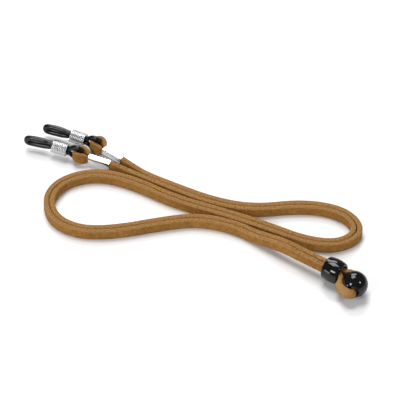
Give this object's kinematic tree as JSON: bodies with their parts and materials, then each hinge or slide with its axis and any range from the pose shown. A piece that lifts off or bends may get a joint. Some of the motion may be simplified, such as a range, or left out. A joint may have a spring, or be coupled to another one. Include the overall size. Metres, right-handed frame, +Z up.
{
  "type": "eyeglass retainer strap",
  "caption": "Doubled suede lace with a sliding barrel bead, a ball bead on its fold and crimped rubber temple loops on its ends, laid in loose loops.",
  "frame": {"origin": "centre of the beads' and end fittings' box, on the table the strap lies on", "axes": "+X along the strap's long side from the rubber temple loops towards the ball bead, +Y away from the viewer, +Z up from the table"},
  "size_m": [0.1097, 0.0781, 0.0084],
  "materials": {
    "suede": "matte suede",
    "crimp_metal": "bright plated",
    "rubber": "smooth, slightly glossy",
    "coil_metal": "bright plated wire",
    "bead": "polished black"
  },
  "bodies": {
    "lace": {"front_strand": "suede", "rear_strand": "suede", "ball_bight": "suede", "front_lace_loop": "suede", "rear_lace_loop": "suede", "front_crimp": "crimp_metal", "rear_crimp": "crimp_metal"},
    "slider": {"slider_bead": "bead"},
    "ball": {"ball_bead": "bead"},
    "front_rubber": {"front_rubber_loop": "rubber"},
    "rear_rubber": {"rear_rubber_loop": "rubber"},
    "front_coil": {"front_spring_coil": "coil_metal"},
    "rear_coil": {"rear_spring_coil": "coil_metal"}
  },
  "joints": [
    {"name": "slider_slide", "type": "slide", "parent": "lace", "child": "slider", "axis": [0.8145, -0.5802, 0], "range_m": [-0.012, 0]},
    {"name": "ball_spin", "type": "hinge", "parent": "lace", "child": "ball", "pos_m": [0.05054, -0.03515, 0.0042], "axis": [0.2744, 0.9616, 0], "continuous": true},
    {"name": "front_rubber_swing", "type": "hinge", "parent": "lace", "child": "front_rubber", "pos_m": [-0.03648, 0.02478, 0.00345], "axis": [0, 0, 1], "range_deg": [-5, 40]},
    {"name": "rear_rubber_swing", "type": "hinge", "parent": "lace", "child": "rear_rubber", "pos_m": [-0.03091, 0.02937, 0.00345], "axis": [0, 0, -1], "range_deg": [-5, 40]},
    {"name": "front_coil_slide", "type": "slide", "parent": "front_rubber", "child": "front_coil", "axis": [-0.9171, 0.3987, 0], "range_m": [0, 0.001]},
    {"name": "rear_coil_slide", "type": "slide", "parent": "rear_rubber", "child": "rear_coil", "axis": [-0.8949, 0.4462, 0], "range_m": [0, 0.001]}
  ]
}
